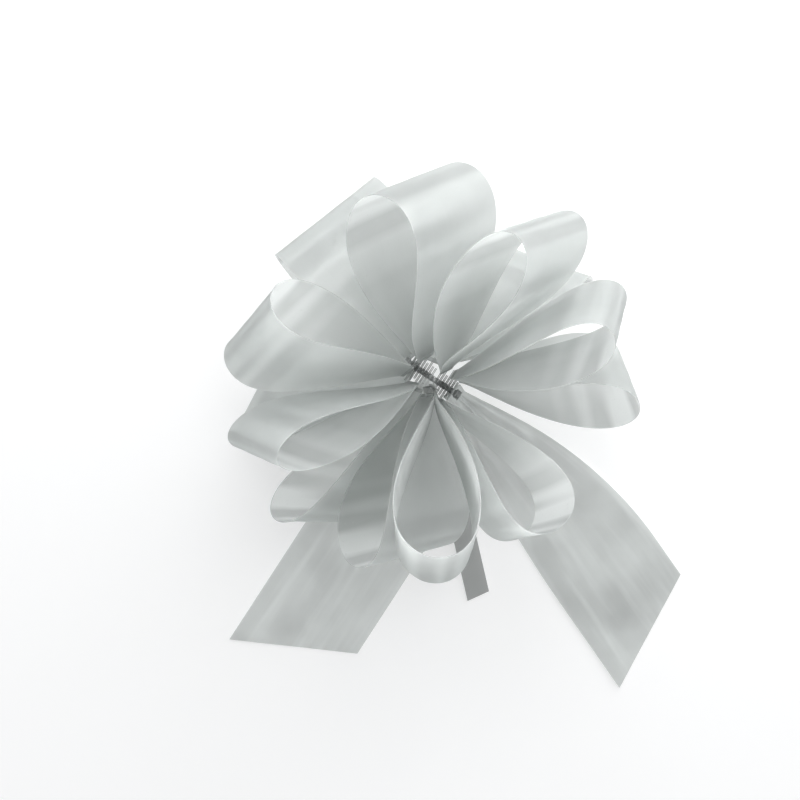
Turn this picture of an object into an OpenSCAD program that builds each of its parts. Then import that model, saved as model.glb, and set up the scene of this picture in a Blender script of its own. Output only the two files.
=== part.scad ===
// Gathered gift bow: loops of wide satin ribbon threaded by their narrow necks on a
// pull ribbon, with two wide tails and the free end of the pull ribbon below.
// The bow lies face up on a table. Z is up, X is right and Y is away from the reader.
// The origin is on the table, straight under the middle of the stack of necks.
// Units are millimetres.

/* [Ribbon] */
// Width of the wide ribbon
ribbon_w = 50; // [44:1:54]
// Width of a neck between two notches
neck_w = 8; // [6:0.5:9]
// Modelled thickness of the ribbon
ribbon_t = 0.4; // [0.3:0.05:0.5]
// Length over which a notch opens from the neck to the full width
notch_l = 32; // [28:1:36]

/* [Loops] */
// Usual reach of a loop from its neck to its tip
loop_reach = 70; // [62:1:74]
// Usual half height of a loop's opening
loop_half = 12; // [9:0.5:13]
// Straight pieces round one loop
loop_steps = 40; // [24:2:60]

/* [Stack] */
// Height of the pull ribbon above the table
stack_z = 56; // [56:1:64]
// Direction of the pull ribbon seen from above, in degrees
strand_az = -33; // [-36:1:-30]
// Diameter of the pull ribbon where it is rolled up inside the stack
strand_d = 2.4; // [1.6:0.1:2.8]
// Distance from one neck to the next along the pull ribbon
neck_pitch = 1.25; // [1.2:0.05:1.4]
// Thickness of a folded neck
neck_t = 0.8; // [0.5:0.05:0.9]
// Radial play of a neck on the pull ribbon
neck_play = 0.06; // [0.03:0.01:0.12]

/* [Tails] */
// Length of the left tail along its long edge
left_tail_l = 143; // [120:1:160]
// Length of the right tail along its long edge
right_tail_l = 148; // [125:1:160]
// How much shorter the other edge is because of the slanted cut
tail_slant = 25; // [0:1:35]
// How far the middle of the left tail lies to the side of its neck
left_tail_side = 13; // [11:0.5:14]
// How far the middle of the right tail lies to the side of its neck
right_tail_side = 11; // [9:0.5:12]
// Distance over which the right tail slopes down to the table
right_tail_fall = 78; // [72:1:84]
// Radius of the bend where the left tail meets the table
tail_bend = 8; // [6:0.5:10]
// Width of the free end of the pull ribbon
pull_w = 10; // [6:0.5:12]
// Length of the free end of the pull ribbon
pull_l = 94; // [60:1:100]

/* [Hidden] */
$fn = 48;
// Places along the stack, counted from its upper left end
slots = 16;
// Distance from the pull ribbon's axis to the root of a loop
root_r = neck_w / 2 + 1.5;
// Power that keeps a loop slim near its neck and full near its tip
bulge = 2;
// Where the walls of a loop part from each other, as an angle round the loop
part_angle = 28;
satin = "#dde2df";
strand_dir = [cos(strand_az), sin(strand_az), 0];
strand_side = [-sin(strand_az), cos(strand_az), 0];

// Distance of a slot from the middle of the stack
function slot_s(slot) = (slot - (slots - 1) / 2) * neck_pitch;

// Turn of a neck about the pull ribbon so that it faces the way its loop points
function neck_turn(az, lean) = atan2(sin(lean), cos(lean) * cos(az - strand_az - 90));

// Root of a loop in the part's frame
function root_point(slot, turn) = [0, 0, stack_z] + strand_dir * slot_s(slot)
    + strand_side * root_r * cos(turn) + [0, 0, root_r * sin(turn)];

// Outline of a loop seen from its edge, from 0 at the neck over 180 at the tip to 360
bulge_top = 2 * pow((bulge + 1) / (bulge + 2), (bulge + 1) / 2) * sqrt(1 / (bulge + 2));
function loop_point(a, reach, half) = [reach * (1 - cos(a)) / 2,
    half * sin(a) * pow(abs(sin(a / 2)), bulge) / bulge_top];

// The same outline moved sideways along its normal
function side_point(a, reach, half, d) =
    let (step = loop_point(a + 0.5, reach, half) - loop_point(a - 0.5, reach, half))
    loop_point(a, reach, half) + d * [step[1], -step[0]] / norm(step);

// Axes of the stack: X across it, Y up and Z along the pull ribbon
module in_stack(slot = (slots - 1) / 2) {
    translate([0, 0, stack_z]) rotate([90, 0, strand_az + 90]) translate([0, 0, slot_s(slot)]) children();
}

// One folded neck with the hole that the pull ribbon runs through
module neck(slot, turn, reach = root_r + 0.8) {
    in_stack(slot) rotate([0, 0, turn]) difference() {
        union() {
            cylinder(d = neck_w, h = neck_t, center = true);
            translate([0, -neck_w / 2, -neck_t / 2]) cube([reach, neck_w, neck_t]);
        }
        cylinder(d = strand_d + 2 * neck_play, h = 4 * neck_t, center = true);
    }
}

// Band of ribbon bent into a loop, notched towards its neck
module loop_band(reach, half, drop) {
    angles = [for (i = [0 : loop_steps]) part_angle + i * (360 - 2 * part_angle) / loop_steps];
    outer = [for (a = angles) side_point(a, reach, half, ribbon_t / 2)];
    inner = [for (i = [loop_steps : -1 : 0]) side_point(angles[i], reach, half, -ribbon_t / 2)];
    start = loop_point(part_angle, reach, half);
    root = [[-0.8, neck_t / 2], [start[0] + 0.4, start[1] + ribbon_t / 2],
        [start[0] + 0.4, -start[1] - ribbon_t / 2], [-0.8, -neck_t / 2]];
    notch = [[-2, neck_w / 2], [0, neck_w / 2], [notch_l, ribbon_w / 2 - drop],
        [reach + 2, ribbon_w / 2 - drop], [reach + 2, -ribbon_w / 2 - drop],
        [notch_l, -ribbon_w / 2 - drop], [0, -neck_w / 2], [-2, -neck_w / 2]];
    intersection() {
        union() {
            linear_extrude(height = 3 * ribbon_w, center = true) polygon(concat(outer, inner));
            linear_extrude(height = 3 * ribbon_w, center = true) polygon(root);
        }
        rotate([90, 0, 0]) linear_extrude(height = 4 * half, center = true) polygon(notch);
    }
}

// A loop with its neck: az is its direction seen from above, lean lifts it towards the
// reader, roll turns it about its own length and drop lets its band hang below its neck
module ribbon_loop(slot, az, lean, roll, longer, fuller, drop) {
    turn = neck_turn(az, lean);
    neck(slot, turn);
    translate(root_point(slot, turn)) rotate([0, 0, az]) rotate([0, -lean, 0]) rotate([roll, 0, 0])
        loop_band(loop_reach + longer, loop_half + fuller, drop);
}

// Strip of ribbon that follows a path given as distance and height, extruded across itself
module strip_on_path(path, thick) {
    last = len(path) - 1;
    normals = [for (i = [0 : last])
        let (step = path[min(i + 1, last)] - path[max(i - 1, 0)]) [-step[1], step[0]] / norm(step)];
    upper = [for (i = [0 : last]) path[i] + normals[i] * thick / 2];
    lower = [for (i = [last : -1 : 0]) path[i] - normals[i] * thick / 2];
    rotate([90, 0, 0]) linear_extrude(height = 4 * ribbon_w, center = true) polygon(concat(upper, lower));
}

module front_loop_1() { color(satin) ribbon_loop(3, 89, 27, -34, 1, 3, -3); }
module front_loop_2() { color(satin) ribbon_loop(10, 51, 32, -13, 8, -1, -15); }
module front_loop_3() { color(satin) ribbon_loop(12, 25, 22, 13, 2, -3, -19); }
module front_loop_4() { color(satin) ribbon_loop(13, 301, 5, -14, -10, 0, -25); }
module front_loop_5() { color(satin) ribbon_loop(11, 270, 20, -1, 1, 2, -26); }
module front_loop_6() { color(satin) ribbon_loop(4, 201, 26, -15, 0, -4, -5); }
module front_loop_7() { color(satin) ribbon_loop(1, 160, 22, 30, -7, -1, 8); }
module back_loop_1() { color(satin) ribbon_loop(0, 131, -10, -82, -3, -3, 8); }
module back_loop_2() { color(satin) ribbon_loop(5, 53, -26, 62, -6, -5, -10); }
module back_loop_3() { color(satin) ribbon_loop(14, 358, 0, 24, -4, -3, 3); }
module back_loop_4() { color(satin) ribbon_loop(9, 260, -13, 40, -3, 0, -1); }
module back_loop_5() { color(satin) ribbon_loop(6, 224, -7, 17, 4, -4, 14); }
module back_loop_6() { color(satin) ribbon_loop(2, 158, -35, -81, -3, -4, -26); }

// Left tail: its neck hangs straight down, bends over and lies flat on the table
module left_tail() {
    bend = tail_bend;
    side = left_tail_side;
    turn_path = [for (a = [0 : 15 : 90]) [bend - bend * cos(a), bend - bend * sin(a) + ribbon_t / 2]];
    path = concat([[0, stack_z - root_r]], turn_path, [[left_tail_l + 10, ribbon_t / 2]]);
    plan = [[-2, -neck_w / 2], [bend / 2, -neck_w / 2], [notch_l, side - ribbon_w / 2],
        [left_tail_l, side - ribbon_w / 2], [left_tail_l - tail_slant, side + ribbon_w / 2],
        [notch_l, side + ribbon_w / 2], [bend / 2, neck_w / 2], [-2, neck_w / 2]];
    color(satin) {
        neck(7, -90);
        rotate([0, 0, strand_az - 90]) intersection() {
            strip_on_path(path, ribbon_t);
            linear_extrude(height = 2 * stack_z, center = true) polygon(plan);
        }
    }
}

// Right tail: its gathered neck slopes down from the end of the stack to the table
module right_tail() {
    az = -55;
    side = right_tail_side;
    fall = right_tail_fall;
    top = stack_z - root_r - ribbon_t / 2;
    slope = [for (r = [0 : 6 : fall]) [r, ribbon_t / 2 + top * (1 - sin(90 * r / fall))]];
    path = concat(slope, [[right_tail_l + 10, ribbon_t / 2]]);
    plan = [[-0.5, -neck_w / 2], [3, -neck_w / 2], [fall * 0.8, side - ribbon_w / 2],
        [right_tail_l, side - ribbon_w / 2], [right_tail_l - tail_slant, side + ribbon_w / 2],
        [fall * 0.8, side + ribbon_w / 2], [3, neck_w / 2], [-0.5, neck_w / 2]];
    color(satin) {
        neck(15, -90);
        translate(strand_dir * slot_s(15)) rotate([0, 0, az]) intersection() {
            strip_on_path(path, ribbon_t);
            linear_extrude(height = 3 * stack_z, center = true) polygon(plan);
        }
    }
}

// Pull ribbon: rolled round inside the stack, then down and out to its free flat end
module pull_ribbon() {
    reach = (slots / 2) * neck_pitch + 2.6;
    gap = 2.6;
    down_w = 5;
    low = 5;
    slope = asin((low + 1 - ribbon_t) / (pull_l + 2));
    color(satin) {
        in_stack() cylinder(d = strand_d, h = 2 * reach, center = true);
        in_stack(8) translate([-gap - ribbon_t, -neck_w / 2, -neck_t / 2])
            cube([gap + ribbon_t, neck_w / 2 - strand_d / 8, neck_t]);
        in_stack(8) translate([-gap - ribbon_t, -root_r - 2, -neck_t / 2]) cube([ribbon_t, root_r, neck_t]);
        in_stack(8) translate([-gap - ribbon_t, low - stack_z, -neck_t / 2])
            cube([ribbon_t, stack_z - root_r - 1.5 - low, down_w]);
        translate(strand_dir * slot_s(8) - strand_side * gap + [0, 0, low + 1]) rotate([0, 0, -77])
            rotate([0, slope, 0]) linear_extrude(height = ribbon_t) polygon([[-0.8, -3], [-0.8, -0.8], [2, 2],
            [20, pull_w / 2], [pull_l, pull_w / 2], [pull_l + 2, -pull_w / 2], [20, -pull_w / 2]]);
    }
}

// Knot that keeps the necks together at one end of the stack
module end_knot(side) {
    at = slot_s(slots - 1) + neck_t / 2 + 0.5;
    in_stack() rotate([0, side < 0 ? 180 : 0, 0]) translate([0, 0, at]) difference() {
        union() {
            cylinder(d1 = 3.2, d2 = 4, h = 0.8);
            translate([0, 0, 0.8]) cylinder(d = 4, h = 1);
            translate([0, 0, 1.8]) cylinder(d1 = 4, d2 = 3, h = 0.8);
        }
        translate([0, 0, -1]) cylinder(d = strand_d, h = 6);
    }
}

module end_knot_left() { color("#c9cfcc") end_knot(-1); }
module end_knot_right() { color("#c9cfcc") end_knot(1); }

pull_ribbon();
end_knot_left();
end_knot_right();
front_loop_1();
front_loop_2();
front_loop_3();
front_loop_4();
front_loop_5();
front_loop_6();
front_loop_7();
back_loop_1();
back_loop_2();
back_loop_3();
back_loop_4();
back_loop_5();
back_loop_6();
left_tail();
right_tail();
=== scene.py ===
"""Gathered gift bow of pale satin ribbon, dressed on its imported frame.

Loops of wide film ribbon stand on a pull ribbon that runs through all their necks.
Two slant-cut tails and the narrow end of the pull ribbon lie on the table below.
Lengths are in metres unless a name says otherwise, in the frame of the part.
"""

import math

import bmesh
import bpy
from mathutils import Euler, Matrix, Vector, noise


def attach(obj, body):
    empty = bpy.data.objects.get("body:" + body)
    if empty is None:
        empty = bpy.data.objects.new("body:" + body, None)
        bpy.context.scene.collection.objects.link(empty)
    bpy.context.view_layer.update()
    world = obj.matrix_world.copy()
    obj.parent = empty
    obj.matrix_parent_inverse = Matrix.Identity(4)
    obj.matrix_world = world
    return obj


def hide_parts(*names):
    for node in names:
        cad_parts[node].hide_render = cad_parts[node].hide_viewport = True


bl_info = {
    "name": "Gathered Gift Bow",
    "version": (1, 0, 0),
    "blender": (4, 5, 0),
    "location": "View3D > Sidebar > Gift Bow",
    "description": "Builds a pull bow of satin ribbon with its loops, tails and pull ribbon",
    "category": "Add Mesh",
}

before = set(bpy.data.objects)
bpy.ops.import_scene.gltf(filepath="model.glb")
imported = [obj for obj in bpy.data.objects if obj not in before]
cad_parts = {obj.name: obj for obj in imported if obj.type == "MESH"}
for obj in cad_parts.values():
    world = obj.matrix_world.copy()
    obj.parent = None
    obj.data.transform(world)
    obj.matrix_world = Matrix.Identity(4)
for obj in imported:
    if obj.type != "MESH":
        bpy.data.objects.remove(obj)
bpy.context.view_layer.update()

MM = 0.001
ROOT_BODY = "pull_strand"
# The stack of necks: places along the pull ribbon and the direction it runs in
SLOTS = 16
STRAND_AZ = -33
# The loops stay slim near their necks and full near their tips
BULGE = 2
# Room light on the far side of the window and on its own side
ROOM_DARK = 0.08
ROOM_BRIGHT = 1.45
# Part of the table's white that doesn't depend on the lights
FLOOR_LIFT = 0.45
# Part of a notch's length, either side of its end, over which it rounds into the full width
NOTCH_ROUND = 0.7
# Play of a neck on the pull ribbon, and how far a loop's root stands off the neck's round end
NECK_PLAY = 0.06 * MM
ROOT_GAP = 1.5 * MM
# How far a neck reaches past its root, so that it joins the ribbon
NECK_LAP = 0.6 * MM
# The two layers of film in a folded neck: each one's middle and half of its thickness
LAYER_MIDDLE = 0.24 * MM
LAYER_HALF = 0.14 * MM
# Tails: slant of the cut, height of the film's middle on the table, the left tail's place in the stack
# and the right tail's direction
TAIL_SLANT = 25 * MM
TAIL_BASE = 0.2 * MM
LEFT_TAIL_SLOT = 7
RIGHT_TAIL_AZ = -55
# Free end of the pull ribbon: its slot, width, length, direction and fall in degrees
PULL_SLOT = 8
PULL_WIDTH = 10 * MM
PULL_LENGTH = 95 * MM
PULL_AZ = -77
PULL_FALL = 3.4
# The table's half size and how far it lies below the bow
TABLE_HALF = 1.5
TABLE_DROP = 0.2 * MM
# Distance of the camera from the stack of necks
VIEW_DISTANCE = 0.4
# No colour is whiter than this
WHITEST = 0.99
# The side that the window is on
WINDOW_SIDE = Vector((0.5, 0.85, 0.25)).normalized()

# Each loop's place in the stack, its direction seen from above, its lean towards the viewer
# and its roll in degrees, then its reach, half height and drop in millimetres
LOOPS = {
    "front_loop_1": (3, 89, 27, -34, 71, 15, -3),
    "front_loop_2": (10, 51, 32, -13, 78, 11, -15),
    "front_loop_3": (12, 25, 22, 13, 72, 9, -19),
    "front_loop_4": (13, 301, 5, -14, 60, 12, -25),
    "front_loop_5": (11, 270, 20, -1, 71, 14, -26),
    "front_loop_6": (4, 201, 26, -15, 70, 8, -5),
    "front_loop_7": (1, 160, 22, 30, 63, 11, 8),
    "back_loop_1": (0, 131, -10, -82, 67, 9, 8),
    "back_loop_2": (5, 53, -26, 62, 64, 7, -10),
    "back_loop_3": (14, 358, 0, 24, 66, 9, 3),
    "back_loop_4": (9, 260, -13, 40, 67, 12, -1),
    "back_loop_5": (6, 224, -7, 17, 74, 8, 14),
    "back_loop_6": (2, 158, -35, -81, 67, 8, -26),
}


class GiftBowRibbon(bpy.types.PropertyGroup):
    """Sizes of the ribbon and of the stack of necks"""

    width: bpy.props.FloatProperty(
        name="Ribbon width", description="Width of the wide ribbon", default=50 * MM, unit="LENGTH"
    )
    neck: bpy.props.FloatProperty(
        name="Neck width", description="Width of a neck between two notches", default=8 * MM, unit="LENGTH"
    )
    notch: bpy.props.FloatProperty(
        name="Notch length", description="Length over which a notch opens", default=32 * MM, unit="LENGTH"
    )
    film: bpy.props.FloatProperty(
        name="Film thickness", description="Thickness of the film", default=0.25 * MM, unit="LENGTH"
    )
    strand: bpy.props.FloatProperty(
        name="Strand diameter",
        description="Diameter of the rolled pull ribbon",
        default=2.4 * MM,
        unit="LENGTH",
    )
    pitch: bpy.props.FloatProperty(
        name="Neck pitch", description="Distance from one neck to the next", default=1.25 * MM, unit="LENGTH"
    )
    height: bpy.props.FloatProperty(
        name="Stack height", description="Height of the stack above the table", default=56 * MM, unit="LENGTH"
    )
    pleat: bpy.props.FloatProperty(
        name="Pleat", description="Depth of the pleats near a neck", default=0.35 * MM, unit="LENGTH"
    )


class GiftBowLook(bpy.types.PropertyGroup):
    """Colours and gloss of the film"""

    film_color: bpy.props.FloatVectorProperty(
        name="Film colour",
        description="Colour of the satin film",
        subtype="COLOR",
        size=3,
        default=(0.820, 0.836, 0.827),
    )
    opacity: bpy.props.FloatProperty(
        name="Opacity",
        description="How much of the light one surface of the film stops",
        subtype="FACTOR",
        default=0.8,
        min=0,
        max=1,
    )
    glow: bpy.props.FloatProperty(
        name="Glow",
        description="Share of the stopped light that comes out on the other side",
        subtype="FACTOR",
        default=0.8,
        min=0,
        max=1,
    )
    pearl: bpy.props.FloatProperty(
        name="Pearl",
        description="How much the satin face shines like pearl",
        subtype="FACTOR",
        default=0.45,
        min=0,
        max=1,
    )
    gloss: bpy.props.FloatProperty(
        name="Roughness",
        description="Mean roughness of the film",
        subtype="FACTOR",
        default=0.2,
        min=0,
        max=1,
    )
    floor_color: bpy.props.FloatVectorProperty(
        name="Floor colour",
        description="Colour of the table",
        subtype="COLOR",
        size=3,
        default=(0.6, 0.6, 0.6),
    )


def ribbon():
    """Sizes that the user set"""
    return bpy.context.scene.gift_bow_ribbon


def look():
    """Colours that the user set"""
    return bpy.context.scene.gift_bow_look


def strand_axes():
    """Directions along the pull ribbon and level across it"""
    along = Euler((0, 0, math.radians(STRAND_AZ))).to_matrix() @ Vector((1, 0, 0))
    return along, Vector((0, 0, 1)).cross(along)


def slot_place(slot):
    """Distance of a neck from the middle of the stack"""
    return (slot - (SLOTS - 1) / 2) * ribbon().pitch


def stack_point(slot, across=0.0, up=0.0):
    """Point beside a neck: across the pull ribbon and up from its axis"""
    along, side = strand_axes()
    return Vector((0, 0, ribbon().height + up)) + along * slot_place(slot) + side * across


def neck_turn(az, lean):
    """Angle about the pull ribbon at which a loop with this direction leaves it"""
    level = math.cos(lean) * math.cos(az - math.radians(STRAND_AZ) - math.pi / 2)
    return math.atan2(math.sin(lean), level)


def root_radius():
    """Distance from the pull ribbon's axis to the root of a loop"""
    return ribbon().neck / 2 + ROOT_GAP


def bulge_peak():
    """Highest value of the loop's outline before it is scaled to its half height"""
    share = (BULGE + 1) / (BULGE + 2)
    return 2 * share ** ((BULGE + 1) / 2) * math.sqrt(1 / (BULGE + 2))


# Node helpers


def link(tree, source, target):
    """Joins two sockets, or sets the target to a plain value"""
    if isinstance(source, bpy.types.NodeSocket):
        tree.links.new(source, target)
    else:
        target.default_value = source


def math_node(tree, operation, *values):
    """Adds a math node and gives its result"""
    node = tree.nodes.new("ShaderNodeMath")
    node.operation = operation
    for socket, value in zip(node.inputs, values):
        link(tree, value, socket)
    return node.outputs[0]


def rounded_notch(tree, along, notch):
    """Share of the full width at a distance from the neck: straight, then rounded to full width"""
    share = math_node(tree, "DIVIDE", along, notch)
    rest = math_node(tree, "MAXIMUM", math_node(tree, "SUBTRACT", 1 + NOTCH_ROUND, share), 0.0)
    curve = math_node(tree, "DIVIDE", math_node(tree, "POWER", rest, 2.0), 4 * NOTCH_ROUND)
    curve = math_node(tree, "SUBTRACT", 1.0, curve)
    straight = math_node(tree, "LESS_THAN", share, 1 - NOTCH_ROUND)
    first = math_node(tree, "MULTIPLY", share, straight)
    second = math_node(tree, "MULTIPLY", curve, math_node(tree, "SUBTRACT", 1.0, straight))
    return math_node(tree, "ADD", first, second)


# The loop tree


LOOP_INPUTS = (
    ("Reach", "NodeSocketFloat"),
    ("Half Height", "NodeSocketFloat"),
    ("Drop", "NodeSocketFloat"),
    ("Width", "NodeSocketFloat"),
    ("Neck", "NodeSocketFloat"),
    ("Notch", "NodeSocketFloat"),
    ("Film", "NodeSocketFloat"),
    ("Pleat", "NodeSocketFloat"),
    ("Phase", "NodeSocketFloat"),
    ("Place", "NodeSocketVector"),
    ("Turn", "NodeSocketRotation"),
    ("Face Material", "NodeSocketMaterial"),
    ("Back Material", "NodeSocketMaterial"),
)
# Points along and across a loop, and the degrees at its neck that the outline leaves out
LOOP_STEPS = 121
LOOP_COLUMNS = 29
LOOP_PART = 9


def loop_tree():
    """Tree that bends a notched band of film into a loop, gives it thickness and places it"""
    tree = bpy.data.node_groups.new("Ribbon loop", "GeometryNodeTree")
    for name, kind in LOOP_INPUTS:
        tree.interface.new_socket(name, in_out="INPUT", socket_type=kind)
    tree.interface.new_socket("Geometry", in_out="OUTPUT", socket_type="NodeSocketGeometry")
    given = tree.nodes.new("NodeGroupInput").outputs
    grid = tree.nodes.new("GeometryNodeMeshGrid")
    for socket, value in zip(grid.inputs, (1.0, 1.0, LOOP_STEPS, LOOP_COLUMNS)):
        socket.default_value = value
    flat = tree.nodes.new("ShaderNodeSeparateXYZ")
    tree.links.new(tree.nodes.new("GeometryNodeInputPosition").outputs[0], flat.inputs[0])
    turned = 2 * (math.pi - math.radians(LOOP_PART))
    angle = math_node(tree, "MULTIPLY_ADD", flat.outputs[0], turned, math.pi)
    across = math_node(tree, "MULTIPLY", flat.outputs[1], 2.0)
    # Outline of the loop seen from its edge
    fold = math_node(tree, "SUBTRACT", 1.0, math_node(tree, "COSINE", angle))
    along = math_node(tree, "MULTIPLY", math_node(tree, "MULTIPLY", fold, 0.5), given["Reach"])
    half_sine = math_node(tree, "ABSOLUTE", math_node(tree, "SINE", math_node(tree, "MULTIPLY", angle, 0.5)))
    swell = math_node(tree, "POWER", half_sine, float(BULGE))
    swell = math_node(tree, "MULTIPLY", swell, math_node(tree, "SINE", angle))
    rise = math_node(tree, "MULTIPLY", math_node(tree, "DIVIDE", swell, bulge_peak()), given["Half Height"])
    # Width of the band, opening from the neck over the notch, and its drop below the neck
    opened = rounded_notch(tree, along, given["Notch"])
    widest = math_node(tree, "MULTIPLY", math_node(tree, "SUBTRACT", given["Width"], given["Neck"]), 0.5)
    half = math_node(tree, "MULTIPLY_ADD", opened, widest, math_node(tree, "MULTIPLY", given["Neck"], 0.5))
    hang = math_node(tree, "MULTIPLY", opened, given["Drop"])
    level = math_node(tree, "SUBTRACT", math_node(tree, "MULTIPLY", across, half), hang)
    # Pleats that fan out of the neck and fade along the band, and a slow wave near the edges
    wave = math_node(tree, "SINE", math_node(tree, "MULTIPLY_ADD", across, 9.0, given["Phase"]))
    fade = math_node(tree, "MULTIPLY", opened, math_node(tree, "SUBTRACT", 1.25, opened))
    pleat = math_node(tree, "MULTIPLY", math_node(tree, "MULTIPLY", wave, fade), given["Pleat"])
    slow = math_node(tree, "SINE", math_node(tree, "MULTIPLY_ADD", angle, 3.0, given["Phase"]))
    outward = math_node(tree, "POWER", math_node(tree, "ABSOLUTE", across), 3.0)
    edge = math_node(tree, "MULTIPLY", outward, slow)
    edge = math_node(tree, "MULTIPLY", math_node(tree, "MULTIPLY", edge, opened), given["Pleat"])
    rise = math_node(tree, "ADD", rise, math_node(tree, "ADD", pleat, edge))
    place = tree.nodes.new("ShaderNodeCombineXYZ")
    for value, socket in zip((along, rise, level), place.inputs):
        tree.links.new(value, socket)
    store = tree.nodes.new("GeometryNodeStoreNamedAttribute")
    store.data_type = "FLOAT2"
    store.domain = "CORNER"
    store.inputs["Name"].default_value = "UVMap"
    tree.links.new(grid.outputs["Mesh"], store.inputs["Geometry"])
    tree.links.new(grid.outputs["UV Map"], store.inputs["Value"])
    bend = tree.nodes.new("GeometryNodeSetPosition")
    tree.links.new(store.outputs[0], bend.inputs["Geometry"])
    tree.links.new(place.outputs[0], bend.inputs["Position"])
    # Thickness: the outer face is drawn off the inner one, which closes the film behind it
    grow = tree.nodes.new("GeometryNodeExtrudeMesh")
    grow.inputs["Individual"].default_value = False
    tree.links.new(bend.outputs[0], grow.inputs["Mesh"])
    tree.links.new(given["Film"], grow.inputs["Offset Scale"])
    back = tree.nodes.new("GeometryNodeFlipFaces")
    tree.links.new(bend.outputs[0], back.inputs["Mesh"])
    mark = tree.nodes.new("GeometryNodeStoreNamedAttribute")
    mark.data_type = "BOOLEAN"
    mark.domain = "FACE"
    mark.inputs["Name"].default_value = "inside"
    mark.inputs["Value"].default_value = True
    tree.links.new(back.outputs[0], mark.inputs["Geometry"])
    join = tree.nodes.new("GeometryNodeJoinGeometry")
    tree.links.new(mark.outputs[0], join.inputs[0])
    tree.links.new(grow.outputs["Mesh"], join.inputs[0])
    weld = tree.nodes.new("GeometryNodeMergeByDistance")
    weld.inputs["Distance"].default_value = 1e-7
    tree.links.new(join.outputs[0], weld.inputs["Geometry"])
    move = tree.nodes.new("GeometryNodeTransform")
    tree.links.new(weld.outputs[0], move.inputs["Geometry"])
    tree.links.new(given["Place"], move.inputs["Translation"])
    tree.links.new(given["Turn"], move.inputs["Rotation"])
    real = tree.nodes.new("GeometryNodeRealizeInstances")
    tree.links.new(move.outputs[0], real.inputs[0])
    # Satin face outside, matt back inside
    face = tree.nodes.new("GeometryNodeSetMaterial")
    tree.links.new(real.outputs[0], face.inputs["Geometry"])
    tree.links.new(given["Face Material"], face.inputs["Material"])
    inside = tree.nodes.new("GeometryNodeInputNamedAttribute")
    inside.data_type = "BOOLEAN"
    inside.inputs["Name"].default_value = "inside"
    lining = tree.nodes.new("GeometryNodeSetMaterial")
    tree.links.new(face.outputs[0], lining.inputs["Geometry"])
    tree.links.new(inside.outputs["Attribute"], lining.inputs["Selection"])
    tree.links.new(given["Back Material"], lining.inputs["Material"])
    out = tree.nodes.new("NodeGroupOutput")
    tree.links.new(lining.outputs[0], out.inputs[0])
    return tree


def plain_mesh_from(tree, name, values):
    """Runs a tree with these input values and gives its result as a plain mesh object"""
    carrier = bpy.data.objects.new(name + "_nodes", bpy.data.meshes.new(name + "_nodes"))
    bpy.context.collection.objects.link(carrier)
    modifier = carrier.modifiers.new("Ribbon", "NODES")
    modifier.node_group = tree
    for item in tree.interface.items_tree:
        if item.in_out == "INPUT":
            modifier[item.identifier] = values[item.name]
    depsgraph = bpy.context.evaluated_depsgraph_get()
    mesh = bpy.data.meshes.new_from_object(carrier.evaluated_get(depsgraph), depsgraph=depsgraph)
    mesh.name = name
    carrier.modifiers.clear()
    bpy.data.objects.remove(carrier)
    piece = bpy.data.objects.new(name, mesh)
    bpy.context.collection.objects.link(piece)
    finish_mesh(piece)
    return piece


def closed_piece(name, work, spots, material):
    """Piece from a closed shell, with the spot given for each of its points kept as its UV"""
    bmesh.ops.recalc_face_normals(work, faces=work.faces)
    uv_layer = work.loops.layers.uv.verify()
    for face in work.faces:
        for corner in face.loops:
            corner[uv_layer].uv = spots[corner.vert]
    mesh = bpy.data.meshes.new(name)
    work.to_mesh(mesh)
    work.free()
    mesh.materials.append(material)
    piece = bpy.data.objects.new(name, mesh)
    bpy.context.collection.objects.link(piece)
    finish_mesh(piece)
    return piece


def bridge_rings(work, rings):
    """Faces between each ring of points and the next"""
    for first, second in zip(rings, rings[1:]):
        for j in range(len(first)):
            k = (j + 1) % len(first)
            work.faces.new((first[j], first[k], second[k], second[j]))


def finish_mesh(piece):
    """Smooth faces with hard edges along the cuts"""
    piece.data.polygons.foreach_set("use_smooth", [True] * len(piece.data.polygons))
    piece.data.set_sharp_from_angle(angle=math.radians(50))
    piece.data.update()


# Sheets made from rows of points


def film_from_rows(name, rows, thick, material):
    """Closed thin sheet through rows of points, with its length and width kept as UVs"""
    work = bmesh.new()
    work.loops.layers.uv.new("UVMap")
    last_row = len(rows) - 1
    last_col = len(rows[0]) - 1
    layers = []
    for side in (0.5, -0.5):
        layer = []
        for i, row in enumerate(rows):
            line = []
            for j, point in enumerate(row):
                ahead = rows[min(i + 1, last_row)][j] - rows[max(i - 1, 0)][j]
                beside = row[min(j + 1, last_col)] - row[max(j - 1, 0)]
                line.append(work.verts.new(point + ahead.cross(beside).normalized() * thick * side))
            layer.append(line)
        layers.append(layer)
    upper, lower = layers
    spots = {}
    for layer in layers:
        for i, line in enumerate(layer):
            for j, vertex in enumerate(line):
                spots[vertex] = (i / last_row, j / last_col)
    for i in range(last_row):
        for j in range(last_col):
            work.faces.new((upper[i][j], upper[i + 1][j], upper[i + 1][j + 1], upper[i][j + 1]))
            work.faces.new((lower[i][j], lower[i][j + 1], lower[i + 1][j + 1], lower[i + 1][j]))
    for i in range(last_row):
        for j, turn in ((0, 1), (last_col, -1)):
            ring = (upper[i][j], lower[i][j], lower[i + 1][j], upper[i + 1][j])
            work.faces.new(ring[::turn])
    for j in range(last_col):
        for i, turn in ((0, -1), (last_row, 1)):
            ring = (upper[i][j], lower[i][j], lower[i][j + 1], upper[i][j + 1])
            work.faces.new(ring[::turn])
    return closed_piece(name, work, spots, material)


def smooth_step(value):
    """Eases from 0 to 1"""
    value = min(max(value, 0.0), 1.0)
    return value * value * (3 - 2 * value)


# Materials


def new_material(name):
    """Empty node material with one Principled shader"""
    material = bpy.data.materials.new(name)
    material.use_nodes = True
    tree = material.node_tree
    return material, tree, tree.nodes["Principled BSDF"]


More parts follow.
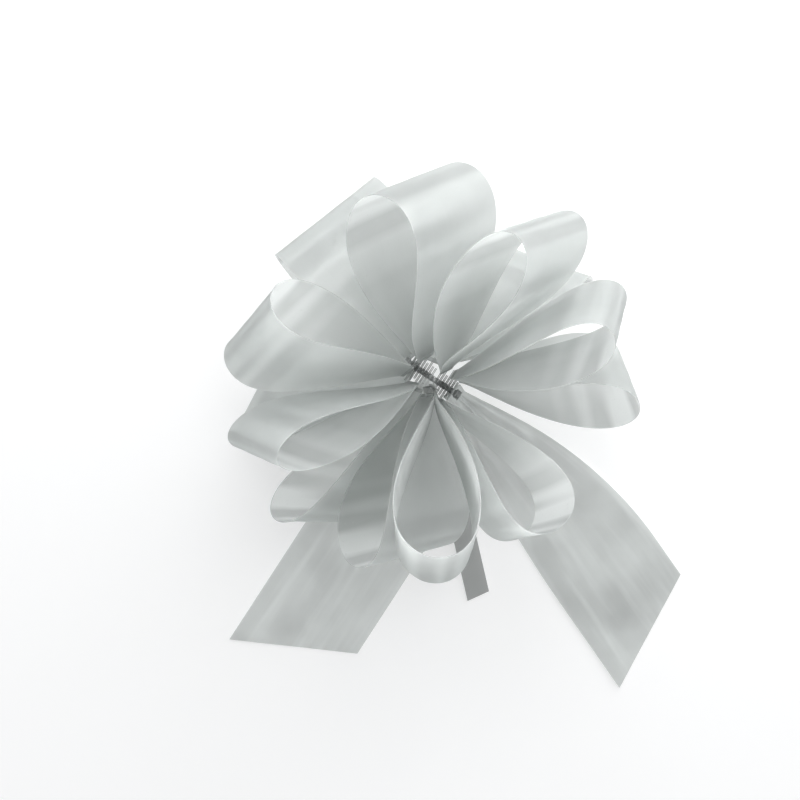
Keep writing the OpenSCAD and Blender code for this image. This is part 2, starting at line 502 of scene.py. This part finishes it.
def mix_color(tree, factor, first, second):
    """Mix of two colours"""
    node = tree.nodes.new("ShaderNodeMix")
    node.data_type = "RGBA"
    link(tree, factor, node.inputs[0])
    link(tree, first, node.inputs[6])
    link(tree, second, node.inputs[7])
    return node.outputs[2]


def mix_shader(tree, share, first, second):
    """Mix of two shaders, with that share of the second"""
    node = tree.nodes.new("ShaderNodeMixShader")
    node.inputs[0].default_value = share
    tree.links.new(first, node.inputs[1])
    tree.links.new(second, node.inputs[2])
    return node.outputs[0]


def ramp(tree, value, low, high, start=0.0, end=1.0):
    """Maps a range of values to another, kept within it"""
    node = tree.nodes.new("ShaderNodeMapRange")
    link(tree, value, node.inputs["Value"])
    for socket, number in zip(node.inputs[1:5], (low, high, start, end)):
        socket.default_value = number
    return node.outputs[0]


def noise_on(tree, vector, scale, detail, stretch=(1, 1, 1)):
    """Noise on a stretched vector"""
    mapping = tree.nodes.new("ShaderNodeMapping")
    mapping.inputs["Scale"].default_value = stretch
    tree.links.new(vector, mapping.inputs["Vector"])
    node = tree.nodes.new("ShaderNodeTexNoise")
    node.inputs["Scale"].default_value = scale
    node.inputs["Detail"].default_value = detail
    tree.links.new(mapping.outputs[0], node.inputs["Vector"])
    return node.outputs[0]


def add_bump(tree, height, depth, base=None):
    """Bump of that depth, on top of another one if given"""
    node = tree.nodes.new("ShaderNodeBump")
    node.inputs["Strength"].default_value = 1.0
    node.inputs["Distance"].default_value = depth
    tree.links.new(height, node.inputs["Height"])
    if base is not None:
        tree.links.new(base, node.inputs["Normal"])
    return node.outputs[0]


def toned(color, share):
    """A colour made darker or paler, short of plain white"""
    return [min(WHITEST, c * share) for c in color[:3]] + [1]


def satin_film(name, tint, gloss, stripes=0.0, smudges=0.0, solid=False):
    """Pale satin film: drawing lines, cloudy patches, fine specks, paler cut edges and slack bands, with
    painted sheen bands near the loop tips and, on the tails, darker patches at random and long paler lines of
    painted sheen
    """
    material, tree, shader = new_material(name)
    color = [*(c * tint for c in look().film_color), 1]
    paler = toned(color, 1.06)
    darker = toned(color, 0.95)
    coords = tree.nodes.new("ShaderNodeTexCoord")
    lines = noise_on(tree, coords.outputs["UV"], 1.0, 3.0, (2.0, 260.0, 1.0))
    clouds = noise_on(tree, coords.outputs["Object"], 45.0, 2.0)
    specks = noise_on(tree, coords.outputs["Object"], 900.0, 1.0)
    bands = noise_on(tree, coords.outputs["UV"], 1.0, 0.0, (20.0, 0.3, 1.0))
    split = tree.nodes.new("ShaderNodeSeparateXYZ")
    tree.links.new(coords.outputs["UV"], split.inputs[0])
    to_edge = math_node(tree, "ABSOLUTE", math_node(tree, "SUBTRACT", split.outputs[1], 0.5))
    body = mix_color(tree, ramp(tree, clouds, 0.3, 0.7), darker, color)
    body = mix_color(tree, ramp(tree, lines, 0.35, 0.75, 0.0, 0.35), body, paler)
    if stripes:
        # Painted highlight and painted shade: paler and darker bands across the ribbon where it turns at the
        # tip of a loop, standing in for its satin sheen
        to_tip = math_node(tree, "ABSOLUTE", math_node(tree, "SUBTRACT", split.outputs[0], 0.5))
        near = ramp(tree, to_tip, 0.1, 0.3, stripes, 0.0)
        satin = mix_color(tree, ramp(tree, bands, 0.4, 0.58), toned(color, 0.76), toned(color, 1.2))
        body = mix_color(tree, near, body, satin)
    if smudges:
        # Darker patches at random, and long paler lines along the tail that are painted sheen
        patch_noise = noise_on(tree, coords.outputs["Object"], 26.0, 4.0)
        sheen_streaks = noise_on(tree, coords.outputs["UV"], 1.0, 2.0, (2.5, 9.0, 1.0))
        darker_patch = ramp(tree, patch_noise, 0.46, 0.66, 0.0, smudges)
        pale = ramp(tree, sheen_streaks, 0.48, 0.7, 0.0, smudges)
        body = mix_color(tree, darker_patch, body, toned(color, 0.7))
        body = mix_color(tree, pale, body, toned(color, 1.2))
    body = mix_color(tree, ramp(tree, specks, 0.7, 0.74, 0.0, 0.5), body, darker)
    body = mix_color(tree, ramp(tree, to_edge, 0.488, 0.498, 0.0, 0.5), body, paler)
    tree.links.new(body, shader.inputs["Base Color"])
    rough = math_node(tree, "ADD", ramp(tree, lines, 0.3, 0.7, -0.05, 0.07), gloss)
    tree.links.new(rough, shader.inputs["Roughness"])
    # Slack bands across the ribbon, then the fine lines and clouds on top of them
    slack = add_bump(tree, bands, 1.8 * MM)
    grain = math_node(tree, "ADD", lines, math_node(tree, "MULTIPLY", clouds, 3.0))
    tree.links.new(add_bump(tree, grain, 0.02 * MM, slack), shader.inputs["Normal"])
    shader.inputs["IOR"].default_value = 1.8
    shader.inputs["Specular IOR Level"].default_value = 1.0
    if solid:
        return material
    shader.inputs["Metallic"].default_value = look().pearl
    # The film glows with the light behind it, and a little of what is behind shows through
    glow = tree.nodes.new("ShaderNodeBsdfTranslucent")
    tree.links.new(body, glow.inputs["Color"])
    lit = mix_shader(tree, look().glow, shader.outputs[0], glow.outputs[0])
    clear = tree.nodes.new("ShaderNodeBsdfTransparent")
    film = mix_shader(tree, look().opacity, clear.outputs[0], lit)
    tree.links.new(film, tree.nodes["Material Output"].inputs["Surface"])
    return material


def seen_rays(tree):
    """1 for rays that show the surroundings: from the camera, mirrored or let through"""
    path = tree.nodes.new("ShaderNodeLightPath").outputs
    seen = math_node(tree, "MAXIMUM", path["Is Camera Ray"], path["Is Glossy Ray"])
    return math_node(tree, "MAXIMUM", seen, path["Is Transmission Ray"])


def table_top():
    """Smooth pale table, which looks white and keeps the shadow of the bow"""
    material, tree, shader = new_material("pale_table")
    coords = tree.nodes.new("ShaderNodeTexCoord")
    grain = noise_on(tree, coords.outputs["Object"], 8.0, 3.0)
    color = [*look().floor_color, 1]
    tree.links.new(mix_color(tree, grain, toned(color, 0.985), color), shader.inputs["Base Color"])
    shader.inputs["Roughness"].default_value = 0.8
    shader.inputs["Emission Color"].default_value = (1, 1, 1, 1)
    lift = math_node(tree, "MULTIPLY", seen_rays(tree), FLOOR_LIFT)
    tree.links.new(lift, shader.inputs["Emission Strength"])
    return material


def shared_material(name, *args, **kwargs):
    """The film material of that name, made once"""
    return bpy.data.materials.get(name) or satin_film(name, *args, **kwargs)


def film_material():
    """Satin face of the wide ribbon, with painted sheen bands near the loop tips"""
    return shared_material("satin_face", 0.82, look().gloss, stripes=0.9)


def back_material():
    """Back of the wide ribbon, more matt, which lines the loops; its paler tint is painted light for the glow
    inside the loops
    """
    return shared_material("satin_back", 1.15, look().gloss + 0.15)


def tail_material():
    """Satin face of the tails, with darker patches at random and long paler lines of painted sheen"""
    return shared_material("satin_tail", 0.92, look().gloss, smudges=0.38)


def pull_material():
    """Film of the pull ribbon, painted greyer than the wide ribbon: painted shade for the shade it lies in by
    the lower loops
    """
    return shared_material("pull_film", 0.65, look().gloss)


def rolled_material():
    """Pull ribbon where it is rolled and knotted, so that no light comes through; its paler tint is painted
    light against the shade between the necks
    """
    return shared_material("pull_roll", 0.95, look().gloss + 0.1, solid=True)


# Necks


def neck_outline(angle, reach, half):
    """Distance from the pull ribbon to the edge of a neck, in one direction"""
    c, s = math.cos(angle), math.sin(angle)
    if c <= 0:
        return half
    along = reach / c
    across = half / abs(s) if abs(s) > 1e-6 else along
    return min(along, max(across, half))


def neck_layers(name, slot, turn, reach, material):
    """Folded neck: two layers of film with the hole that the pull ribbon runs through"""
    along, side = strand_axes()
    out = side * math.cos(turn) + Vector((0, 0, 1)) * math.sin(turn)
    beside = along.cross(out)
    hole = ribbon().strand / 2 + NECK_PLAY
    half = ribbon().neck / 2
    centre = stack_point(slot)
    steps = 64
    work = bmesh.new()
    work.loops.layers.uv.new("UVMap")
    for shift in (-LAYER_MIDDLE, LAYER_MIDDLE):
        rings = []
        for face_side in (-LAYER_HALF, LAYER_HALF):
            for outer in (0, 1):
                ring = []
                for i in range(steps):
                    angle = 2 * math.pi * i / steps
                    radius = neck_outline(angle, reach, half) if outer else hole
                    place = out * radius * math.cos(angle) + beside * radius * math.sin(angle)
                    ring.append(work.verts.new(centre + place + along * (shift + face_side)))
                rings.append(ring)
        bridge_rings(work, [rings[k] for k in (0, 1, 3, 2, 0)])
    spots = {}
    for vertex in work.verts:
        local = vertex.co - centre
        spots[vertex] = (local.dot(out) / reach, 0.5 + local.dot(beside) / (2.2 * half))
    return closed_piece(name, work, spots, material)


class GIFTBOW_OT_loops(bpy.types.Operator):
    """Add the ribbon loops and their necks"""

    bl_idname = "giftbow.add_loops"
    bl_label = "Add Loops"

    def execute(self, context):
        sizes = ribbon()
        tree = loop_tree()
        material = film_material()
        for name, (slot, az, lean, roll, reach, half, drop) in LOOPS.items():
            az, lean, roll = (math.radians(value) for value in (az, lean, roll))
            turn = neck_turn(az, lean)
            root = stack_point(slot, root_radius() * math.cos(turn), root_radius() * math.sin(turn))
            values = {
                "Reach": reach * MM,
                "Half Height": half * MM,
                "Drop": drop * MM,
                "Width": sizes.width,
                "Neck": sizes.neck,
                "Notch": sizes.notch,
                "Film": sizes.film,
                "Pleat": sizes.pleat,
                "Phase": float(slot),
                "Place": root,
                "Turn": Euler((roll, -lean, az)),
                "Face Material": material,
                "Back Material": back_material(),
            }
            loop = plain_mesh_from(tree, name + "_band", values)
            neck = neck_layers(name + "_neck", slot, turn, root_radius() + NECK_LAP, material)
            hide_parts(name)
            for piece in (loop, neck):
                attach(piece, name)
        return {"FINISHED"}


def strip_row(place, columns):
    """Row of points across a strip, placed by their share of the way from its low side to its high side"""
    return [place(j / (columns - 1)) for j in range(columns)]


def edge_at(neck_side, full_side, start, notch, r):
    """Side offset of a tail's edge, which rounds from its notch into the full width"""
    share = max(0.0, (r - start) / (notch - start))
    if share > 1 - NOTCH_ROUND:
        rest = max(0.0, 1 + NOTCH_ROUND - share)
        share = 1 - rest * rest / (4 * NOTCH_ROUND)
    return neck_side + (full_side - neck_side) * share


class GIFTBOW_OT_left_tail(bpy.types.Operator):
    """Add the left tail, which hangs from its neck and lies on the table"""

    bl_idname = "giftbow.add_left_tail"
    bl_label = "Add Left Tail"

    def execute(self, context):
        sizes = ribbon()
        half = sizes.neck / 2
        side = 13 * MM
        bend = 8 * MM
        reach = 143 * MM
        top = sizes.height - root_radius() + 0.4 * MM
        turn = Euler((0, 0, math.radians(STRAND_AZ - 90))).to_matrix()
        columns = 25

        def edges(r):
            low = edge_at(-half, side - sizes.width / 2, bend / 2, sizes.notch, r)
            return low, edge_at(half, side + sizes.width / 2, bend / 2, sizes.notch, r)

        def level_row(r, low, high, z):
            return strip_row(lambda v: turn @ Vector((r, low + (high - low) * v, z)), columns)

        rows = []
        # Hanging neck, then the bend onto the table
        steps = 20
        for step in range(steps + 1):
            rows.append(level_row(0, -half, half, top + (TAIL_BASE + bend - top) * step / steps))
        steps = 12
        for step in range(1, steps + 1):
            angle = math.radians(90 * step / steps)
            r = bend - bend * math.cos(angle)
            rows.append(level_row(r, *edges(r), bend - bend * math.sin(angle) + TAIL_BASE))
        # Flat part, with a faint wave along it and its end cut at a slant
        steps = 70
        for step in range(1, steps + 1):
            share = step / steps

            def place(v, share=share):
                far = reach - TAIL_SLANT * v
                r = bend + (far - bend) * share
                low, high = edges(r)
                wave = 0.5 + 0.5 * noise.noise(Vector((r * 28, v * 1.4, 3.0)))
                lift = 1.3 * MM * wave * smooth_step(share * 1.6)
                pleat = 0.5 * MM * math.sin(v * 19) * (1 - smooth_step(r / (60 * MM)))
                return turn @ Vector((r, low + (high - low) * v, TAIL_BASE + lift + abs(pleat)))

            rows.append(strip_row(place, columns))
        add_tail("left_tail", LEFT_TAIL_SLOT, rows)
        return {"FINISHED"}


class GIFTBOW_OT_right_tail(bpy.types.Operator):
    """Add the right tail, whose gathered neck slopes down to the table"""

    bl_idname = "giftbow.add_right_tail"
    bl_label = "Add Right Tail"

    def execute(self, context):
        sizes = ribbon()
        half = sizes.neck / 2
        side = 11 * MM
        fall = 78 * MM
        reach = 148 * MM
        top = sizes.height - root_radius() - TAIL_BASE
        along, _ = strand_axes()
        turn = Euler((0, 0, math.radians(RIGHT_TAIL_AZ))).to_matrix()
        start = along * slot_place(SLOTS - 1)
        wide = 0.8 * fall

        def edges(r):
            low = edge_at(-half, side - sizes.width / 2, 3 * MM, wide, r)
            return low, edge_at(half, side + sizes.width / 2, 3 * MM, wide, r)

        rows = []
        steps = 110
        for step in range(steps + 1):
            share = step / steps

            def place(v, share=share):
                r = -0.5 * MM + (reach - TAIL_SLANT * v + 0.5 * MM) * share
                low, high = edges(r)
                z = TAIL_BASE
                if r < fall:
                    z += top * (1 - math.sin(math.pi / 2 * max(r, 0.0) / fall))
                # Crinkled gathers by the neck, pressed in by the notch, and a faint wave further out
                gather = smooth_step(r / (10 * MM)) * (1 - smooth_step((r - 18 * MM) / (50 * MM)))
                crease = noise.noise(Vector((r * 90, v * 5.0, 8.0)))
                z += gather * (1.1 * MM * math.sin(v * 21 + 2 * crease) + 1.2 * MM * crease)
                wave = 0.5 + 0.5 * noise.noise(Vector((r * 30, v * 1.3, 5.0)))
                z += 1.4 * MM * wave * smooth_step((r - 60 * MM) / (40 * MM))
                return start + turn @ Vector((r, low + (high - low) * v, max(z, TAIL_BASE)))

            rows.append(strip_row(place, 49))
        add_tail("right_tail", SLOTS - 1, rows)
        return {"FINISHED"}


def line_length(rows, column):
    """Length of a strip along one column of its points"""
    return sum((b[column] - a[column]).length for a, b in zip(rows, rows[1:]))


def add_tail(name, slot, rows):
    """Sheet of a tail with the neck that it hangs from"""
    material = tail_material()
    sheet = film_from_rows(name + "_strip", rows, ribbon().film, material)
    neck = neck_layers(name + "_neck", slot, -math.pi / 2, root_radius() + NECK_LAP, material)
    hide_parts(name)
    for piece in (sheet, neck):
        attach(piece, name)
    last = len(rows[0]) - 1
    length = max(line_length(rows, j) for j in (0, last // 2, last))


class GIFTBOW_OT_pull_ribbon(bpy.types.Operator):
    """Add the pull ribbon: rolled inside the stack, then down to its free end"""

    bl_idname = "giftbow.add_pull_ribbon"
    bl_label = "Add Pull Ribbon"

    def execute(self, context):
        sizes = ribbon()
        along, side = strand_axes()
        columns = 13
        low = 5 * MM
        rows = []
        # Out of the stack beside its neck, then straight down, opening to its gathered width
        top = sizes.height - 1.5 * MM
        gathered = sizes.height - root_radius() - 1.5 * MM
        start = along * (slot_place(PULL_SLOT) - 0.4 * MM) - side * 2.8 * MM
        steps = 30
        for step in range(steps + 1):
            z = top + (low + 2.0 * MM - top) * step / steps
            wide = 0.8 * MM + 4.2 * MM * smooth_step((gathered - z) / (3 * MM))
            rows.append(strip_row(lambda v, w=wide, z=z: start + along * w * v + Vector((0, 0, z)), columns))
        # Bend and the free end, which slopes to the table and widens to its flat width
        turn = Euler((0, 0, math.radians(PULL_AZ))).to_matrix()
        fall = math.radians(PULL_FALL)
        hinge = along * slot_place(PULL_SLOT) - side * 3.0 * MM + Vector((0, 0, low + 1.2 * MM))
        steps = 60
        for step in range(steps + 1):
            share = step / steps

            def place(v, share=share):
                across = 1 - 2 * v
                r = 0.4 * MM + (PULL_LENGTH - 2 * MM * (1 - v)) * share
                opened = smooth_step(r / (20 * MM))
                half = PULL_WIDTH / 4 * (1 + opened)
                middle = -0.5 * MM * (1 - opened)
                cup = 0.35 * MM * across**2 * (1 - share)
                wave = 0.3 * MM * noise.noise(Vector((r * 60, 1 - v, 2.0))) * smooth_step(share * 3)
                sunk = cup + wave - r * math.sin(fall)
                point = hinge + turn @ Vector((r * math.cos(fall), middle + half * across, sunk))
                point.z = max(point.z, 0.15 * MM)
                return point

            rows.append(strip_row(place, columns))
        strip = film_from_rows("pull_ribbon_strip", rows, sizes.film, pull_material())
        rolled = rolled_strand("pull_ribbon_roll", rolled_material())
        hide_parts("pull_ribbon")
        for piece in (strip, rolled):
            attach(piece, ROOT_BODY)
        return {"FINISHED"}


def rolled_strand(name, material):
    """Pull ribbon rolled into a round strand, with the rolled edge winding round it"""
    along, side = strand_axes()
    reach = SLOTS / 2 * ribbon().pitch + 2.6 * MM
    rings, around = 81, 32
    radius = ribbon().strand / 2
    centre = stack_point((SLOTS - 1) / 2)
    work = bmesh.new()
    work.loops.layers.uv.new("UVMap")
    table = []
    spots = {}
    for i in range(rings):
        share = i / (rings - 1)
        ring = []
        for j in range(around):
            angle = 2 * math.pi * j / around
            lap = (j / around + 3 * share) % 1.0
            size = radius * (1 - 0.08 * lap)
            end = min(share, 1 - share) * (rings - 1)
            if end < 2:
                size *= 0.8 + 0.1 * end
            point = centre + along * (2 * share - 1) * reach
            point += side * size * math.cos(angle) + Vector((0, 0, 1)) * size * math.sin(angle)
            vertex = work.verts.new(point)
            spots[vertex] = (share, j / around)
            ring.append(vertex)
        table.append(ring)
    bridge_rings(work, table)
    for ring in (table[0], table[-1]):
        work.faces.new(ring)
    return closed_piece(name, work, spots, material)


class GIFTBOW_OT_knots(bpy.types.Operator):
    """Add the knot at each end of the stack"""

    bl_idname = "giftbow.add_knots"
    bl_label = "Add Knots"

    def execute(self, context):
        for name, sign in (("end_knot_left", -1), ("end_knot_right", 1)):
            knot = wound_knot(name + "_turns", sign)
            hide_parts(name)
            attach(knot, ROOT_BODY)
        return {"FINISHED"}


def wound_knot(name, sign):
    """Turns of the pull ribbon wound round itself and pulled tight"""
    along, side = strand_axes()
    up = Vector((0, 0, 1))
    at = slot_place(SLOTS - 1) + 0.9 * MM
    centre = stack_point((SLOTS - 1) / 2) + along * sign * at
    out = along * sign
    near, far = 0.1 * MM, 2.5 * MM
    bore = 1.24 * MM
    profile = []
    # Outside of the knot from the stack outwards: three rounded turns, then back through its bore
    steps = 24
    for i in range(steps + 1):
        share = i / steps
        turns = abs(math.sin(3 * math.pi * share))
        profile.append((near + (far - near) * share, 1.42 * MM + 0.5 * MM * turns**0.7))
    profile += [(far, bore), (near, bore)]
    around = 40
    work = bmesh.new()
    work.loops.layers.uv.new("UVMap")
    spots = {}
    table = []
    for i, (step, radius) in enumerate(profile):
        ring = []
        for j in range(around):
            angle = 2 * math.pi * j / around
            skew = 0.12 * MM * math.sin(angle) if 0 < i < steps else 0
            spoke = side * radius * math.cos(angle) + up * radius * math.sin(angle)
            vertex = work.verts.new(centre + out * (step + skew) + spoke)
            spots[vertex] = (i / len(profile), j / around)
            ring.append(vertex)
        table.append(ring)
    bridge_rings(work, table + table[:1])
    return closed_piece(name, work, spots, rolled_material())


class GIFTBOW_OT_stage(bpy.types.Operator):
    """Add the pale table, the soft lights and the camera"""

    bl_idname = "giftbow.add_stage"
    bl_label = "Add Stage"

    def execute(self, context):
        scene = context.scene
        mesh = bpy.data.meshes.new("table")
        signs = ((-1, -1), (1, -1), (1, 1), (-1, 1))
        corners = [(TABLE_HALF * x, TABLE_HALF * y, -TABLE_DROP) for x, y in signs]
        mesh.from_pydata(corners, [], [(0, 1, 2, 3)])
        mesh.materials.append(table_top())
        table = bpy.data.objects.new("table", mesh)
        scene.collection.objects.link(table)
        add_light("key", (0.13, 0.27, 0.20), (0, 0, 0.06), (0.3, 0.2), 0.6)
        add_light("right_strip", (0.93, 0.36, 0.20), (0, 0.03, 0.08), (0.02, 0.45), 0.6)
        add_light("corner_strip", (0.50, 0.87, 0.20), (0, 0.03, 0.08), (0.02, 0.45), 0.6)
        add_light("back_strip", (-0.30, 0.80, 0.62), (0, 0.03, 0.08), (0.8, 0.02), 0.8)
        add_light("soft_fill", (0.0, 0.14, 0.42), (0, 0.03, 0.07), (0.2, 0.2), 0.42)
        scene.world = studio_world()
        view = bpy.data.cameras.new("photo_view")
        view.sensor_width = 36
        view.lens = 47.2
        view.shift_x = -0.04
        view.shift_y = -0.0275
        view.clip_start = 0.01
        camera = bpy.data.objects.new("photo_view", view)
        camera.location = (0, 0, ribbon().height + VIEW_DISTANCE)
        scene.collection.objects.link(camera)
        scene.camera = camera
        scene.view_settings.view_transform = "Standard"
        return {"FINISHED"}


def studio_world():
    """Soft room light, brightest on the side of the window"""
    world = bpy.data.worlds.new("studio")
    world.use_nodes = True
    tree = world.node_tree
    coords = tree.nodes.new("ShaderNodeTexCoord")
    towards = tree.nodes.new("ShaderNodeVectorMath")
    towards.operation = "DOT_PRODUCT"
    tree.links.new(coords.outputs["Generated"], towards.inputs[0])
    towards.inputs[1].default_value = WINDOW_SIDE
    room = ramp(tree, towards.outputs["Value"], -0.4, 1.0, ROOM_DARK, ROOM_BRIGHT)
    ground = tree.nodes["Background"]
    ground.inputs["Color"].default_value = (0.97, 0.985, 1.0, 1)
    tree.links.new(math_node(tree, "MAXIMUM", seen_rays(tree), room), ground.inputs["Strength"])
    return world


def add_light(name, place, target, size, power):
    """Soft rectangular light aimed at a point"""
    data = bpy.data.lights.new(name, "AREA")
    data.shape = "RECTANGLE"
    data.size, data.size_y = size
    data.energy = power
    lamp = bpy.data.objects.new(name, data)
    lamp.location = place
    aim = Vector(target) - Vector(place)
    lamp.rotation_euler = aim.to_track_quat("-Z", "Y").to_euler()
    bpy.context.scene.collection.objects.link(lamp)


class GIFTBOW_PT_panel(bpy.types.Panel):
    """Lists the sizes, the colours and the pieces of the bow"""

    bl_idname = "GIFTBOW_PT_panel"
    bl_label = "Gift Bow"
    bl_space_type = "VIEW_3D"
    bl_region_type = "UI"
    bl_category = "Gift Bow"

    def draw(self, context):
        for group in (context.scene.gift_bow_ribbon, context.scene.gift_bow_look):
            box = self.layout.box()
            for key in group.__annotations__:
                box.prop(group, key)
        for operator in OPERATORS:
            self.layout.operator(operator.bl_idname)


OPERATORS = (
    GIFTBOW_OT_stage,
    GIFTBOW_OT_loops,
    GIFTBOW_OT_left_tail,
    GIFTBOW_OT_right_tail,
    GIFTBOW_OT_pull_ribbon,
    GIFTBOW_OT_knots,
)
CLASSES = (GiftBowRibbon, GiftBowLook, *OPERATORS, GIFTBOW_PT_panel)


def register():
    for item in CLASSES:
        bpy.utils.register_class(item)
    bpy.types.Scene.gift_bow_ribbon = bpy.props.PointerProperty(type=GiftBowRibbon)
    bpy.types.Scene.gift_bow_look = bpy.props.PointerProperty(type=GiftBowLook)


def unregister():
    del bpy.types.Scene.gift_bow_look
    del bpy.types.Scene.gift_bow_ribbon
    for item in reversed(CLASSES):
        bpy.utils.unregister_class(item)


def main():
    """Builds the whole bow"""
    register()
    bpy.ops.giftbow.add_stage()
    bpy.ops.giftbow.add_loops()
    bpy.ops.giftbow.add_left_tail()
    bpy.ops.giftbow.add_right_tail()
    bpy.ops.giftbow.add_pull_ribbon()
    bpy.ops.giftbow.add_knots()


if __name__ == "__main__":
    main()
